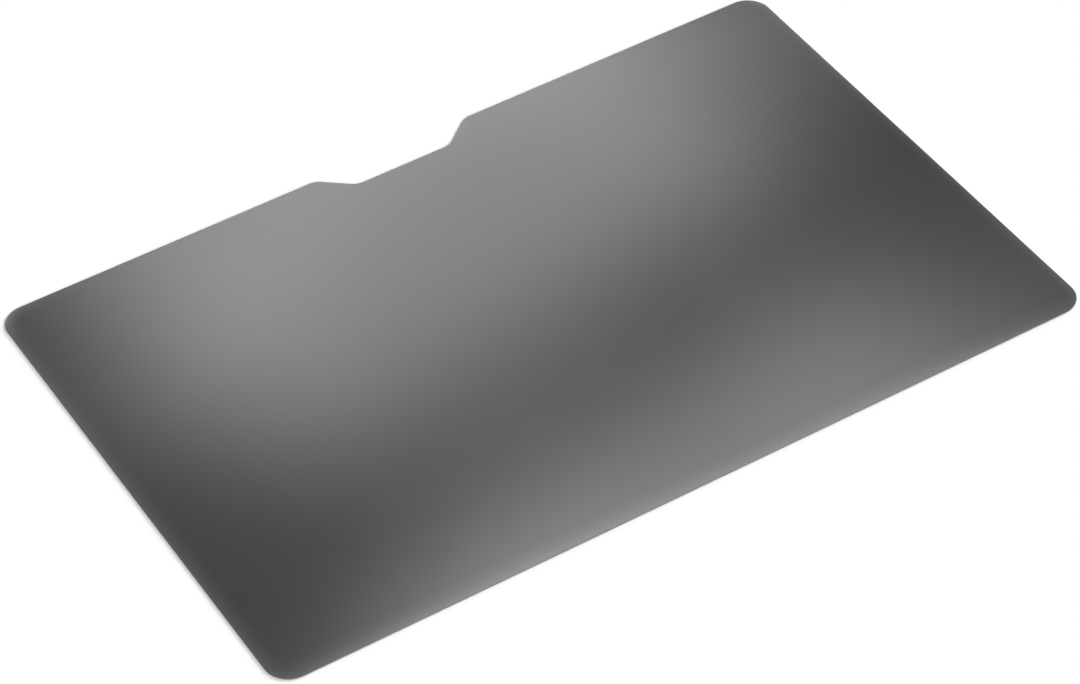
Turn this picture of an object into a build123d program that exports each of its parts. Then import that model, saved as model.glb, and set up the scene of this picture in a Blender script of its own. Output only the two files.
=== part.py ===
"""Privacy filter for a 14 inch laptop: one flat die-cut sheet of louvred film.

The sheet covers the whole glass of a 16:10 display. It has round corners, and a
trapezoid notch in the middle of its top edge leaves the laptop's camera free.

Frame: +X along the long side, +Y towards the notch, +Z out of the viewing face.
The origin is the middle of the face that lies on the screen. Millimetres.
"""

import os
from math import radians, tan

from build123d import *

# Sheet
sheet_width = 308.0
sheet_height = 200.0
sheet_thickness = 0.5
corner_radius = 9.0

# Rim, eased on both faces where the die has cut through
rim_radius = 0.1

# Camera notch, centred on the top edge and wider at its mouth than at its floor
notch_floor_width = 37.5
notch_depth = 9.8
notch_slope = 40.5
notch_floor_radius = 7.0
notch_mouth_radius = 6.0

# Worked out from the sizes above
top_edge = sheet_height / 2
notch_floor = top_edge - notch_depth
notch_mouth_width = notch_floor_width + 2 * notch_depth / tan(radians(notch_slope))

with BuildPart() as filter_sheet:
    with BuildSketch() as outline:
        RectangleRounded(sheet_width, sheet_height, corner_radius)

        # The notch is a trapezoid turned over, with its wide base on the top edge
        with Locations((0, top_edge - notch_depth / 2)):
            Trapezoid(notch_mouth_width, notch_depth, notch_slope, rotation=180, mode=Mode.SUBTRACT)

        # Its four corners run into the straight stretches in round curves
        mouth_corners = outline.vertices().group_by(Axis.Y)[-1].sort_by_distance((0, top_edge))[:2]
        fillet(mouth_corners, radius=notch_mouth_radius)
        floor_corners = outline.vertices().sort_by_distance((0, notch_floor))[:2]
        fillet(floor_corners, radius=notch_floor_radius)

    extrude(amount=sheet_thickness)

    # Both faces keep a sharp-looking but touch-safe rim all the way round
    rims = filter_sheet.edges().group_by(Axis.Z)
    fillet(rims[0] + rims[-1], radius=rim_radius)

filter_sheet.part.label = "filter_sheet"

os.makedirs("parts", exist_ok=True)
export_step(filter_sheet.part, "parts/filter_sheet.step")

print(f"notch mouth {notch_mouth_width:.2f} mm, volume {filter_sheet.part.volume:.1f} mm3")
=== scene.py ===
"""Studio picture of a laptop privacy filter.

One die-cut sheet of louvred film lies flat on a pale floor and is seen from beyond
its near left corner. The sheet stands for the CAD solid of the same form, with a
smoother outline and with the finishes of its two faces and its cut edge.

Fields hold millimetres and degrees, and Blender works in metres and radians.
"""

import logging
import math
from dataclasses import dataclass
from enum import Enum
from typing import Any, Iterator, NamedTuple

import bmesh
import bpy
from mathutils import Matrix, Vector


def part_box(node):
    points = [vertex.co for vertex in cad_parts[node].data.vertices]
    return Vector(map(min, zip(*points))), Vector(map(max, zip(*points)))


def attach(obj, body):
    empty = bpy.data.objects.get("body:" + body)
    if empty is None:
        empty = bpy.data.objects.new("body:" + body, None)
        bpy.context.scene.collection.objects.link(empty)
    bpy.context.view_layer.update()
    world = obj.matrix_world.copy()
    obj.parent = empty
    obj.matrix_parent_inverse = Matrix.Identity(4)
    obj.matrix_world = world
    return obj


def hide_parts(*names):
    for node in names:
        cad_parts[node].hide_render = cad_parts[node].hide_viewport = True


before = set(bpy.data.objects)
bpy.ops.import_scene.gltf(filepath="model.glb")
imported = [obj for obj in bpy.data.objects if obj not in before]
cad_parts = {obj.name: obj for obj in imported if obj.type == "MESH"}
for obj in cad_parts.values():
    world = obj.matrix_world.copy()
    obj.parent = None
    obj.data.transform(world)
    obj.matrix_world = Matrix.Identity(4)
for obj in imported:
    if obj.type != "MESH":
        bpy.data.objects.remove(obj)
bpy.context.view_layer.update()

SHEET_NODE = "filter_sheet"
# Vertex layer that holds the painted glow: a paler colour standing in for light along the cut
PAINTED_GLOW_LAYER = "edge_painted_glow"

# Metres in a millimetre
MM = 0.001

# Length of one wave of Blender's wave texture at a scale of 1
WAVE_LENGTH = math.pi / 10

log = logging.getLogger("privacy_filter")


def linear(hex_colour: str) -> tuple[float, float, float, float]:
    """Turn an sRGB hex colour into Blender's linear colour, by the curve of the sRGB standard.

    Args:
        hex_colour: Six hex digits, as in "3a3a3a".

    Returns:
        Linear red, green and blue, and an alpha of 1.
    """
    channels = []
    for place in (0, 2, 4):
        value = int(hex_colour[place:place + 2], 16) / 255
        channels.append(value / 12.92 if value <= 0.04045 else ((value + 0.055) / 1.055) ** 2.4)
    return (*channels, 1.0)


def add_node(
    tree: bpy.types.NodeTree, kind: str, inputs: dict[str | int, Any], **settings: Any,
) -> bpy.types.Node:
    """Add a node to a shader tree, set it up and link it.

    Args:
        tree: Tree that gets the node.
        kind: Blender's name for the type of node.
        inputs: A value, or an output to link, for each input by name or place.
        settings: Properties of the node itself, such as its operation.

    Returns:
        The new node.
    """
    node = tree.nodes.new(kind)
    for name, value in settings.items():
        setattr(node, name, value)
    for name, value in inputs.items():
        if isinstance(value, bpy.types.NodeSocket):
            tree.links.new(value, node.inputs[name])
        else:
            node.inputs[name].default_value = value
    return node


def new_material(name: str) -> tuple[bpy.types.Material, bpy.types.NodeTree]:
    """Start a node material with an empty tree.

    Args:
        name: Name of the material.

    Returns:
        The material and its node tree.
    """
    material = bpy.data.materials.new(name)
    material.use_nodes = True
    material.node_tree.nodes.clear()
    return material, material.node_tree


def place_object(name: str, data: bpy.types.ID) -> bpy.types.Object:
    """Put new data into the scene as an object at the origin.

    Args:
        name: Name of the object.
        data: Mesh, light or camera that it shows.

    Returns:
        The object.
    """
    made = bpy.data.objects.new(name, data)
    bpy.context.scene.collection.objects.link(made)
    return made


class Face(Enum):
    """Finishes on the sheet, by the place of their material on its mesh."""

    MATT = 0
    CUT_EDGE = 1
    GLOSS = 2


@dataclass(frozen=True)
class CoatedLouvreFilm:
    """Polycarbonate louvre film between polyester skins, with a hard coat rolled on.

    The black louvres inside make the sheet a deep neutral grey from any slant. The
    matt coat smears a lamp into a soft patch, and the gloss coat keeps it sharp.
    Along the cut, a paler colour is painted in: a painted glow that stands in for the light
    that the cut edge lets through.
    """

    name: str
    colour: str = "353535"
    # Paler colour of the painted glow along the cut, which stands in for light, not the film's own
    painted_glow_colour: str = "6e6e6e"
    roughness: float = 0.12
    ior: float = 1.5
    louvre_pitch: float = 0.6
    louvre_contrast: float = 0.05
    louvre_relief: float = 0.0004
    grit: float = 0.3
    grit_detail: float = 1.0
    grit_relief: float = 0.0006
    cloud_size: float = 45.0
    cloud_detail: float = 2.0
    cloud_roughness: float = 0.012

    def build(self) -> bpy.types.Material:
        """Make the film's material.

        Returns:
            The material, patterned in the sheet's own millimetres.
        """
        material, tree = new_material(self.name)
        place = add_node(tree, "ShaderNodeTexCoord", {}).outputs["Object"]

        # Louvres run up the sheet. Real ones are 0.06 mm apart, and these are ten times as
        # coarse, so that a close view shows them
        louvres = add_node(
            tree, "ShaderNodeTexWave",
            {"Vector": place, "Scale": WAVE_LENGTH / (self.louvre_pitch * MM)},
            bands_direction="X",
        ).outputs["Fac"]
        louvre_shade = add_node(
            tree, "ShaderNodeMapRange",
            {"Value": louvres, "To Min": 1 - self.louvre_contrast, "To Max": 1 + self.louvre_contrast},
        ).outputs["Result"]

        # The painted glow along the cut, a paler colour standing in for light, fades out a few
        # millimetres in
        glow_margin = add_node(tree, "ShaderNodeAttribute", {}, attribute_name=PAINTED_GLOW_LAYER).outputs["Fac"]
        tint = add_node(
            tree, "ShaderNodeMix",
            {"Factor": glow_margin, "A": linear(self.colour), "B": linear(self.painted_glow_colour)},
            data_type="RGBA",
        ).outputs["Result"]
        shaded = add_node(
            tree, "ShaderNodeVectorMath", {0: tint, "Scale": louvre_shade}, operation="SCALE",
        ).outputs["Vector"]

        # The coat lies a little unevenly and carries a fine grit
        clouds = add_node(
            tree, "ShaderNodeTexNoise",
            {"Vector": place, "Scale": 1 / (self.cloud_size * MM), "Detail": self.cloud_detail},
        ).outputs["Fac"]
        roughness = add_node(
            tree, "ShaderNodeMapRange",
            {
                "Value": clouds,
                "To Min": self.roughness - self.cloud_roughness,
                "To Max": self.roughness + self.cloud_roughness,
            },
        ).outputs["Result"]
        grit = add_node(
            tree, "ShaderNodeTexNoise",
            {"Vector": place, "Scale": 1 / (self.grit * MM), "Detail": self.grit_detail},
        ).outputs["Fac"]
        ribbed = add_node(
            tree, "ShaderNodeBump", {"Height": louvres, "Distance": self.louvre_relief * MM},
        ).outputs["Normal"]
        gritty = add_node(
            tree, "ShaderNodeBump",
            {"Height": grit, "Distance": self.grit_relief * MM, "Normal": ribbed},
        ).outputs["Normal"]

        surface = add_node(
            tree, "ShaderNodeBsdfPrincipled",
            {"Base Color": shaded, "Roughness": roughness, "IOR": self.ior, "Normal": gritty},
        )
        add_node(tree, "ShaderNodeOutputMaterial", {"Surface": surface.outputs["BSDF"]})
        return material


@dataclass(frozen=True)
class DieCutLaminate:
    """Edge of the laminate where a steel rule has sheared it.

    The dark louvre core shows between two thin skins that are a shade lighter, all
    dulled and scored along the cut.
    """

    name: str
    thickness: float
    core_colour: str = "8a8a8a"
    skin_colour: str = "a0a0a0"
    skin: float = 0.1
    skin_blur: float = 0.03
    roughness: float = 0.55
    ior: float = 1.52
    score: float = 0.4
    score_detail: float = 2.0
    score_relief: float = 0.01

    def build(self) -> bpy.types.Material:
        """Make the cut edge's material.

        Returns:
            The material, layered by the height over the lower face.
        """
        material, tree = new_material(self.name)
        place = add_node(tree, "ShaderNodeTexCoord", {}).outputs["Object"]
        height = add_node(tree, "ShaderNodeSeparateXYZ", {"Vector": place}).outputs["Z"]

        # How far the point lies from the middle of the thickness
        off_middle = add_node(
            tree, "ShaderNodeMath", {0: height, 1: self.thickness / 2 * MM}, operation="SUBTRACT",
        ).outputs["Value"]
        depth = add_node(
            tree, "ShaderNodeMath", {0: off_middle}, operation="ABSOLUTE",
        ).outputs["Value"]
        core_edge = self.thickness / 2 - self.skin
        in_skin = add_node(
            tree, "ShaderNodeMapRange",
            {
                "Value": depth,
                "From Min": (core_edge - self.skin_blur / 2) * MM,
                "From Max": (core_edge + self.skin_blur / 2) * MM,
            },
        ).outputs["Result"]
        tint = add_node(
            tree, "ShaderNodeMix",
            {"Factor": in_skin, "A": linear(self.core_colour), "B": linear(self.skin_colour)},
            data_type="RGBA",
        ).outputs["Result"]

        scores = add_node(
            tree, "ShaderNodeTexNoise",
            {"Vector": place, "Scale": 1 / (self.score * MM), "Detail": self.score_detail},
        ).outputs["Fac"]
        scored = add_node(
            tree, "ShaderNodeBump", {"Height": scores, "Distance": self.score_relief * MM},
        ).outputs["Normal"]

        surface = add_node(
            tree, "ShaderNodeBsdfPrincipled",
            {"Base Color": tint, "Roughness": self.roughness, "IOR": self.ior, "Normal": scored},
        )
        add_node(tree, "ShaderNodeOutputMaterial", {"Surface": surface.outputs["BSDF"]})
        return material


class Corner(NamedTuple):
    """A corner of the outline before it is rounded."""

    x: float
    y: float
    radius: float


class RimPoint(NamedTuple):
    """A point of the rounded outline, with the direction out of the sheet."""

    place: Vector
    outward: Vector

    def nearness(self) -> float:
        """Go from 0 where the cut faces the far side to 1 where it faces the near side."""
        return max(1 - self.outward.y, 0) / 2


class Ring(NamedTuple):
    """A loop round the sheet that follows its outline.

    It lies in from the cut by its inset and by a share of the painted glow's margin. Its face
    is the finish of the band that ends there.
    """

    inset: float
    height: float
    face: Face
    glow_margin_share: float = 0.0


class PaintedGlowSpot(NamedTuple):
    """A spot on the cut where more of the painted glow, a paler colour standing in for light, is put."""

    x: float
    y: float
    painted_glow: float
    reach: float


@dataclass
class FilterSheet:
    """The filter itself: a flat sheet with round corners and a notch for the camera.

    The margins say how far the painted glow, a paler colour standing in for light at the cut,
    reaches in from the near and the far cut, and the right cut loses a share of that. The
    glow is the painted share in the middle of the near cut, and the sides and the near cut's
    right end lose some of it. Its fall is a power: the higher it is, the sooner the painted
    glow fades towards the far side.
    """

    width: float
    height: float
    thickness: float
    corner_radius: float = 9.0
    rim_radius: float = 0.1
    notch_floor_width: float = 37.5
    notch_depth: float = 9.8
    notch_slope: float = 40.5
    notch_floor_radius: float = 7.0
    notch_mouth_radius: float = 6.0
    arc_step: float = 3.0
    straight_step: float = 6.0
    rim_steps: int = 5
    # These set the painted glow: a paler colour standing in for light along the cut
    near_glow_margin: float = 8.8
    far_glow_margin: float = 5.0
    right_glow_margin_loss: float = 0.4
    glow_margin_steps: int = 10
    cut_glow: float = 0.55
    side_glow_loss: float = 0.4
    near_right_glow_loss: float = 0.35
    far_glow_fall: float = 1.2

    @classmethod
    def from_frame(cls) -> "FilterSheet":
        """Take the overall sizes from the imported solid.

        Returns:
            The sheet, not built yet.
        """
        low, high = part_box(SHEET_NODE)
        width, height, thickness = (high - low) / MM
        return cls(width, height, thickness)

    def corners(self) -> list[Corner]:
        """List the outline's corners.

        Returns:
            The corners, anticlockwise from the near left one.
        """
        side = self.width / 2
        top = self.height / 2
        floor_side = self.notch_floor_width / 2
        mouth_side = floor_side + self.notch_depth / math.tan(math.radians(self.notch_slope))
        notch_floor = top - self.notch_depth
        return [
            Corner(-side, -top, self.corner_radius),
            Corner(side, -top, self.corner_radius),
            Corner(side, top, self.corner_radius),
            Corner(mouth_side, top, self.notch_mouth_radius),
            Corner(floor_side, notch_floor, self.notch_floor_radius),
            Corner(-floor_side, notch_floor, self.notch_floor_radius),
            Corner(-mouth_side, top, self.notch_mouth_radius),
            Corner(-side, top, self.corner_radius),
        ]

    def arc(self, before: Corner, corner: Corner, after: Corner) -> Iterator[RimPoint]:
        """Round a corner with an arc that meets both its sides smoothly.

        Args:
            before: The corner that the outline comes from.
            corner: The corner to round.
            after: The corner that the outline goes to.

        Yields:
            The points of the arc in order.
        """
        tip = Vector((corner.x, corner.y))
        arriving = (tip - Vector((before.x, before.y))).normalized()
        leaving = (Vector((after.x, after.y)) - tip).normalized()
        turn = math.atan2(arriving.cross(leaving), arriving.dot(leaving))

        # A left turn bulges out of the sheet and a right turn bites into it
        bulge = math.copysign(1, turn)
        start = tip - arriving * corner.radius * math.tan(abs(turn) / 2)
        outward = Vector((arriving.y, -arriving.x))
        middle = start - outward * bulge * corner.radius
        steps = math.ceil(math.degrees(abs(turn)) / self.arc_step)
        for step in range(steps + 1):
            swung = Matrix.Rotation(turn * step / steps, 2) @ outward
            yield RimPoint(middle + swung * bulge * corner.radius, swung)

    def outline(self) -> Iterator[RimPoint]:
        """Join the corners' arcs by straight stretches, cut up so that the painted glow can change.

        Yields:
            The points of the outline in order.
        """
        corners = self.corners()
        arcs = []
        for index, corner in enumerate(corners):
            after = corners[(index + 1) % len(corners)]
            arcs.append(list(self.arc(corners[index - 1], corner, after)))
        for index, arc in enumerate(arcs):
            yield from arc
            start = arc[-1]
            stretch = arcs[(index + 1) % len(arcs)][0].place - start.place
            steps = math.ceil(stretch.length / self.straight_step)
            for step in range(1, steps):
                yield RimPoint(start.place + stretch * step / steps, start.outward)

    def rings(self) -> Iterator[Ring]:
        """Follow the section from inside the matt face, round the rim, to inside the gloss face.

        Yields:
            The rings in order, closest together near the cut.
        """
        shares = [(step / self.glow_margin_steps) ** 2 for step in range(self.glow_margin_steps + 1)]
        swings = [math.pi / 2 * step / self.rim_steps for step in range(1, self.rim_steps + 1)]
        for share in reversed(shares):
            yield Ring(self.rim_radius, self.thickness, Face.MATT, share)
        for swing in swings:
            drop = self.rim_radius * (1 - math.cos(swing))
            yield Ring(self.rim_radius * (1 - math.sin(swing)), self.thickness - drop, Face.MATT)
        yield Ring(0, self.rim_radius, Face.CUT_EDGE)
        for swing in swings:
            rise = self.rim_radius * (1 - math.sin(swing))
            yield Ring(self.rim_radius * (1 - math.cos(swing)), rise, Face.GLOSS)
        for share in shares[1:]:
            yield Ring(self.rim_radius, 0, Face.GLOSS, share)

    def glow_margin(self, point: RimPoint) -> float:
        """Say how far the painted glow reaches in: widest along the near cut, narrower facing right."""
        full_glow_margin = self.far_glow_margin + (self.near_glow_margin - self.far_glow_margin) * point.nearness()
        return full_glow_margin * (1 - self.right_glow_margin_loss * max(point.outward.x, 0))

    def painted_glow_spots(self) -> list[PaintedGlowSpot]:
        """List the spots where the painted glow is strongest: by its far corners, mostly the left one.

        Returns:
            One spot for each of the two corners.
        """
        side = self.width / 2
        top = self.height / 2
        return [
            PaintedGlowSpot(-side, top, painted_glow=1.5, reach=9.0),
            PaintedGlowSpot(side, top - self.corner_radius / 2, painted_glow=0.85, reach=5.0),
        ]

    def painted_glow(self, point: RimPoint, inset: float) -> float:
        """Say how strong the painted glow is, a paler colour that stands in for light at the cut.

        It is strongest at the spots, less so along the near cut, less again along the sides
        and at the near cut's right end, and none along the far cut.

        Args:
            point: The nearest point of the outline.
            inset: Distance in from the cut.

        Returns:
            A share from 0 to 1.
        """
        fade = (1 - inset / (self.rim_radius + self.glow_margin(point))) ** 2

        # The painted glow holds over most of the width and drops close to the sides
        along = point.place.x / (self.width / 2)
        bow = 1 - self.side_glow_loss * along ** 4
        bow -= self.near_right_glow_loss * max(along, 0) ** 2 * max(-point.outward.y, 0)

        # The fall starts at the sides, where the nearness is a half
        painted_glow = self.cut_glow * bow * min(2 * point.nearness(), 1) ** self.far_glow_fall
        for spot in self.painted_glow_spots():
            away = math.dist(point.place, (spot.x, spot.y))
            painted_glow = max(painted_glow, spot.painted_glow * math.exp(-away / spot.reach))
        return fade * painted_glow

    def build(self) -> bpy.types.Object:
        """Build the sheet's mesh as rings joined by bands, with a flat face at each end.

        Returns:
            The sheet, still without materials.
        """
        form = bmesh.new()
        painted_glow = form.verts.layers.float.new(PAINTED_GLOW_LAYER)
        outline = list(self.outline())
        last = None
        for ring in self.rings():
            loop = []
            for point in outline:
                inset = ring.inset + ring.glow_margin_share * self.glow_margin(point)
                spot = (point.place - point.outward * inset) * MM
                vertex = form.verts.new((*spot, ring.height * MM))
                # Each vertex carries its share of the painted glow
                vertex[painted_glow] = self.painted_glow(point, inset)
                loop.append(vertex)
            if last is None:
                form.faces.new(loop).material_index = ring.face.value
            else:
                for index in range(len(loop)):
                    band = form.faces.new((last[index - 1], loop[index - 1], loop[index], last[index]))
                    band.material_index = ring.face.value
            last = loop
        form.faces.new(reversed(last)).material_index = Face.GLOSS.value
        form.normal_update()

        mesh = bpy.data.meshes.new("louvre_film_sheet")
        form.to_mesh(mesh)
        form.free()
        mesh.shade_smooth()
        return place_object("louvre_film_sheet", mesh)

    def dress(self, sheet: bpy.types.Object) -> None:
        """Give the sheet its finishes, in the order of the Face options.

        Args:
            sheet: The built sheet.
        """
        finishes = {
            Face.MATT: CoatedLouvreFilm("louvre_film_matt_hard_coat"),
            Face.CUT_EDGE: DieCutLaminate("louvre_laminate_die_cut", self.thickness),
            Face.GLOSS: CoatedLouvreFilm("louvre_film_gloss_hard_coat", roughness=0.08, grit_relief=0.0),
        }
        for face in Face:
            sheet.data.materials.append(finishes[face].build())

    def install(self) -> bpy.types.Object:
        """Build and dress the sheet and put it in the place of its solid.

        Returns:
            The finished sheet.
        """
        sheet = self.build()
        self.dress(sheet)
        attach(sheet, "root")
        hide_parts(SHEET_NODE)
        return sheet


@dataclass
class PhotoCamera:
    """A long lens beyond the near left corner, looking down on the sheet."""

    place: tuple[float, float, float] = (-462.2, -834.2, 887.1)
    aim: tuple[float, float, float] = (-7.45, -13.5, 0.0)
    roll: float = -3.53
    focal_length: float = 129.18
    sensor_width: float = 36.0

    def build(self) -> bpy.types.Object:
        """Make the camera the scene's own.

        Returns:
            The camera.
        """
        lens = bpy.data.cameras.new("photo_camera")
        lens.lens = self.focal_length
        lens.sensor_width = self.sensor_width
        camera = place_object("photo_camera", lens)
        place = Vector(self.place) * MM
        level = (Vector(self.aim) * MM - place).to_track_quat("-Z", "Y").to_matrix()
        rolled = level @ Matrix.Rotation(math.radians(self.roll), 3, "Z")
        camera.matrix_world = Matrix.Translation(place) @ rolled.to_4x4()
        bpy.context.scene.camera = camera
        return camera


@dataclass(frozen=True)
class Softbox:
    """A level diffuser over the floor whose mirror image lies on the sheet.

    Its centre, size and fade are those of the mirror image, in millimetres on the
    sheet as the photograph's camera sees it. The fade is the soft border inside it, and
    a diffuser that is narrower than its fade stays dimmer than its strength.
    """

    name: str
    centre: tuple[float, float]
    half_size: tuple[float, float]
    fade: tuple[float, float]
    turn: float
    strength: float
    hang: float

    def finish(self, growth: float) -> bpy.types.Material:
        """Make the diffuser's cloth: bright in the middle, fading out to clear.

        Args:
            growth: Size of the diffuser over the size of its mirror image.

        Returns:
            The material.
        """
        material, tree = new_material(self.name + "_diffuser")
        place = add_node(tree, "ShaderNodeTexCoord", {}).outputs["Object"]
        split = add_node(tree, "ShaderNodeSeparateXYZ", {"Vector": place})
        glow = self.strength
        for axis, half, fade in zip("XY", self.half_size, self.fade):
            away = add_node(
                tree, "ShaderNodeMath", {0: split.outputs[axis]}, operation="ABSOLUTE",
            ).outputs["Value"]
            border = add_node(
                tree, "ShaderNodeMapRange",
                {
                    "Value": away,
                    "From Min": (half - fade) * growth * MM,
                    "From Max": half * growth * MM,
                    "To Min": 1.0,
                    "To Max": 0.0,
                },
                interpolation_type="SMOOTHSTEP",
            ).outputs["Result"]
            glow = add_node(
                tree, "ShaderNodeMath", {0: glow, 1: border}, operation="MULTIPLY",
            ).outputs["Value"]
        light = add_node(tree, "ShaderNodeEmission", {"Strength": glow})
        clear = add_node(tree, "ShaderNodeBsdfTransparent", {})
        both = add_node(tree, "ShaderNodeAddShader", {0: light.outputs[0], 1: clear.outputs[0]})
        add_node(tree, "ShaderNodeOutputMaterial", {"Surface": both.outputs[0]})
        return material

    def build(self, camera_place: tuple[float, float, float]) -> bpy.types.Object:
        """Hang the diffuser where the mirrored camera sees it through its image.

        Args:
            camera_place: Where the photograph's camera stands.

        Returns:
            The diffuser.
        """
        reach = self.hang / camera_place[2]
        growth = 1 + reach
        half_x = self.half_size[0] * growth * MM
        half_y = self.half_size[1] * growth * MM
        form = bmesh.new()
        rim = [form.verts.new((x, y, 0)) for x, y in (
            (-half_x, half_y), (half_x, half_y), (half_x, -half_y), (-half_x, -half_y),
        )]
        form.faces.new(rim)
        mesh = bpy.data.meshes.new(self.name)
        form.to_mesh(mesh)
        form.free()
        mesh.materials.append(self.finish(growth))
        box = place_object(self.name, mesh)
        box.location = (
            (self.centre[0] * growth - camera_place[0] * reach) * MM,
            (self.centre[1] * growth - camera_place[1] * reach) * MM,
            self.hang * MM,
        )
        box.rotation_euler.z = math.radians(self.turn)
        box.visible_camera = False
        box.visible_diffuse = False
        return box


@dataclass(frozen=True)
class FarPanel:
    """A wide panel of light, so far off that it lights the whole floor evenly.

    Its bearing is counted anticlockwise from the near side, and its rise from the floor.
    """

    name: str
    bearing: float
    rise: float
    spread: float
    strength: float

    def build(self) -> bpy.types.Object:
        """Turn the panel to the sheet, which doesn't mirror it.

        Returns:
            The lamp.
        """
        lamp = bpy.data.lights.new(self.name, "SUN")
        lamp.energy = self.strength
        lamp.angle = math.radians(self.spread)
        panel = place_object(self.name, lamp)
        panel.rotation_euler = (math.radians(90 - self.rise), 0, math.radians(self.bearing))
        panel.visible_glossy = False
        return panel


@dataclass(frozen=True)
class BackgroundPaper:
    """Uncoated white paper off a wide roll, dead matt, so that it takes a soft shadow.

    Where the camera or a gloss surface looks at it, it is lifted a little to read as white.
    """

    name: str
    colour: str = "f2f2f2"
    lift: float = 0.07

    def build(self) -> bpy.types.Material:
        """Make the paper's material.

        Returns:
            The material.
        """
        material, tree = new_material(self.name)
        rays = add_node(tree, "ShaderNodeLightPath", {})
        seen = rays.outputs["Is Camera Ray"]
        for ray in ("Is Glossy Ray", "Is Transmission Ray"):
            seen = add_node(
                tree, "ShaderNodeMath", {0: seen, 1: rays.outputs[ray]}, operation="MAXIMUM",
            ).outputs["Value"]
        lift = add_node(
            tree, "ShaderNodeMath", {0: seen, 1: self.lift}, operation="MULTIPLY",
        ).outputs["Value"]
        paper = add_node(tree, "ShaderNodeBsdfDiffuse", {"Color": linear(self.colour)})
        glow = add_node(tree, "ShaderNodeEmission", {"Strength": lift})
        both = add_node(tree, "ShaderNodeAddShader", {0: paper.outputs[0], 1: glow.outputs[0]})
        add_node(tree, "ShaderNodeOutputMaterial", {"Surface": both.outputs[0]})
        return material


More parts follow.
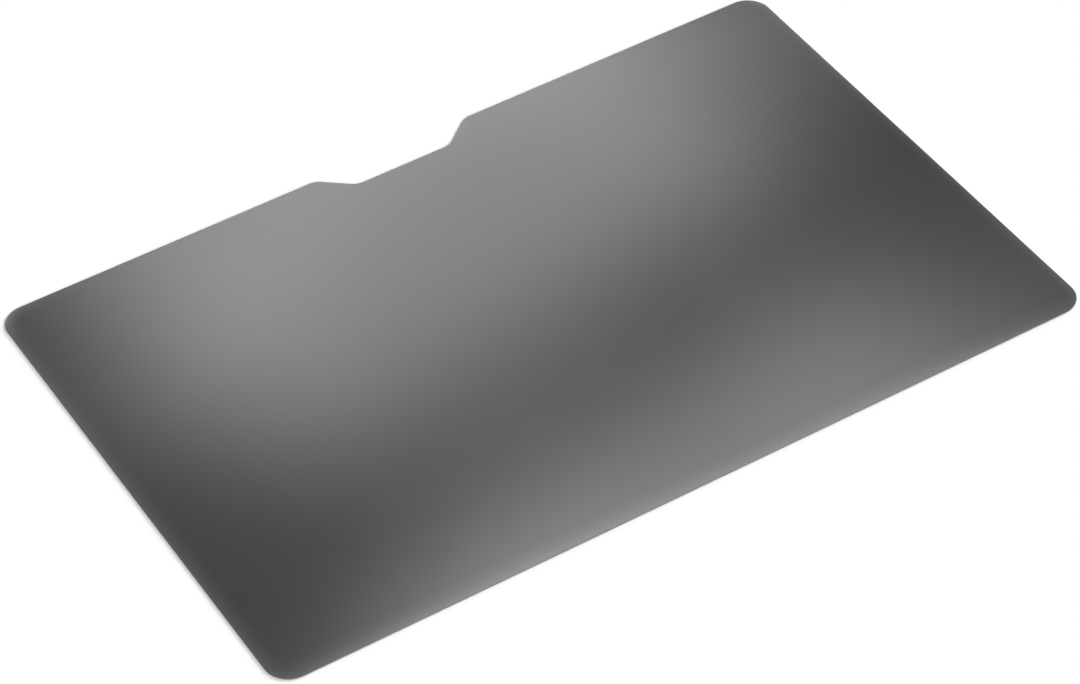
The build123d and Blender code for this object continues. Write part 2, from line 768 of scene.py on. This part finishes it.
@dataclass
class Studio:
    """Pale floor, pale room and the lamps.

    Bands are pairs of heights above the horizon, and each glow changes between two of them.
    """

    floor_half: float = 9000.0
    floor_drop: float = 0.02
    room_colour: str = "ffffff"
    horizon_glow: float = 1.0
    ceiling_glow: float = 0.25
    zenith_glow: float = 1.0
    horizon_band: tuple[float, float] = (10.0, 42.0)
    zenith_band: tuple[float, float] = (80.0, 90.0)
    strips: int = 8
    strip_bearing: float = 6.0
    strip_glow: float = 1.2
    strip_narrowing: float = 8.0
    strip_foot_band: tuple[float, float] = (8.0, 25.0)
    strip_top_band: tuple[float, float] = (52.0, 75.0)

    def softboxes(self) -> list[Softbox]:
        """List the diffusers that the sheet mirrors.

        Returns:
            The diffusers, from the lowest up.
        """
        return [
            Softbox(
                "far_softbox", centre=(-9, 87), half_size=(146, 131), fade=(71, 79),
                turn=11, strength=3.57, hang=900,
            ),
            Softbox(
                "far_right_softbox", centre=(77, 139), half_size=(85, 166), fade=(240, 120),
                turn=50, strength=11.2, hang=930,
            ),
            Softbox(
                "near_softbox", centre=(11, -196), half_size=(184, 151), fade=(104, 73),
                turn=24, strength=3.55, hang=960,
            ),
            Softbox(
                "near_left_softbox", centre=(-105, -139), half_size=(202, 68), fade=(400, 73),
                turn=40, strength=9.3, hang=990,
            ),
            Softbox(
                "far_left_softbox", centre=(-29, 109), half_size=(62, 164), fade=(74, 41),
                turn=-51, strength=1.47, hang=1020,
            ),
            Softbox(
                "near_right_softbox", centre=(172, -53), half_size=(45, 48), fade=(45, 48),
                turn=0, strength=0.55, hang=1050,
            ),
        ]

    def panels(self) -> list[FarPanel]:
        """List the lamps that light the floor.

        Returns:
            The key, which draws the shadow on the left, and the fill, which lights the near cut.
        """
        return [
            FarPanel("key_panel", bearing=101, rise=22, spread=30, strength=3.05),
            FarPanel("fill_panel", bearing=6, rise=30, spread=8, strength=1.85),
        ]

    def floor(self) -> bpy.types.Object:
        """Lay the floor just under the sheet.

        Returns:
            The floor.
        """
        form = bmesh.new()
        bmesh.ops.create_grid(form, x_segments=1, y_segments=1, size=self.floor_half * MM)
        mesh = bpy.data.meshes.new("studio_floor")
        form.to_mesh(mesh)
        form.free()
        mesh.materials.append(BackgroundPaper("studio_floor_paper").build())
        floor = place_object("studio_floor", mesh)
        floor.location.z = -self.floor_drop * MM
        return floor

    def room(self) -> bpy.types.World:
        """Surround the floor with a white horizon, strip lights and a dim ceiling with a skylight.

        Returns:
            The scene's new world.
        """
        world = bpy.data.worlds.new("studio_room")
        world.use_nodes = True
        tree = world.node_tree
        tree.nodes.clear()
        ray = add_node(tree, "ShaderNodeTexCoord", {}).outputs["Generated"]
        split = add_node(tree, "ShaderNodeSeparateXYZ", {"Vector": ray})

        bands = []
        for (foot, top), low, high in (
            (self.strip_foot_band, 0.0, self.strip_glow),
            (self.strip_top_band, 1.0, 0.0),
            (self.horizon_band, self.horizon_glow, self.ceiling_glow),
            (self.zenith_band, 0.0, self.zenith_glow - self.ceiling_glow),
        ):
            band = add_node(
                tree, "ShaderNodeMapRange",
                {
                    "Value": split.outputs["Z"],
                    "From Min": math.sin(math.radians(foot)),
                    "From Max": math.sin(math.radians(top)),
                    "To Min": low,
                    "To Max": high,
                },
                interpolation_type="SMOOTHSTEP",
            )
            bands.append(band.outputs["Result"])
        strip_foot, strip_top, horizon, zenith = bands

        # Tall strip lights stand round the sheet, which mirrors them. They don't light the floor
        bearing = add_node(
            tree, "ShaderNodeMath", {0: split.outputs["X"], 1: split.outputs["Y"]},
            operation="ARCTAN2",
        ).outputs["Value"]
        phase = add_node(
            tree, "ShaderNodeMath",
            {0: bearing, 1: self.strips / 2, 2: -math.radians(self.strip_bearing) * self.strips / 2},
            operation="MULTIPLY_ADD",
        ).outputs["Value"]
        wave = add_node(tree, "ShaderNodeMath", {0: phase}, operation="COSINE").outputs["Value"]
        glow = add_node(
            tree, "ShaderNodeMath", {0: wave, 1: self.strip_narrowing}, operation="POWER",
        ).outputs["Value"]
        mirrored = add_node(tree, "ShaderNodeLightPath", {}).outputs["Is Glossy Ray"]
        for share in (strip_foot, strip_top, mirrored):
            glow = add_node(
                tree, "ShaderNodeMath", {0: glow, 1: share}, operation="MULTIPLY",
            ).outputs["Value"]

        for added in (horizon, zenith):
            glow = add_node(
                tree, "ShaderNodeMath", {0: glow, 1: added}, operation="ADD",
            ).outputs["Value"]
        sky = add_node(
            tree, "ShaderNodeBackground", {"Color": linear(self.room_colour), "Strength": glow},
        )
        add_node(tree, "ShaderNodeOutputWorld", {"Surface": sky.outputs[0]})
        bpy.context.scene.world = world
        return world

    def build(self, camera: PhotoCamera) -> None:
        """Set the whole studio up.

        Args:
            camera: The camera that the softboxes' mirror images are laid out for.
        """
        self.floor()
        self.room()
        for panel in self.panels():
            panel.build()
            log.info("%s stands %.0f degrees up", panel.name, panel.rise)
        for softbox in self.softboxes():
            softbox.build(camera.place)
            log.info("%s hangs at %.0f mm", softbox.name, softbox.hang)
        bpy.context.scene.view_settings.view_transform = "Standard"


def main() -> None:
    """Build the sheet, the camera and the studio, in that order."""
    logging.basicConfig(level=logging.INFO, format="%(name)s: %(message)s")
    sheet = FilterSheet.from_frame().install()
    log.info("%s has %d faces", sheet.name, len(sheet.data.polygons))
    camera = PhotoCamera()
    camera.build()
    Studio().build(camera)


if __name__ == "__main__":
    main()
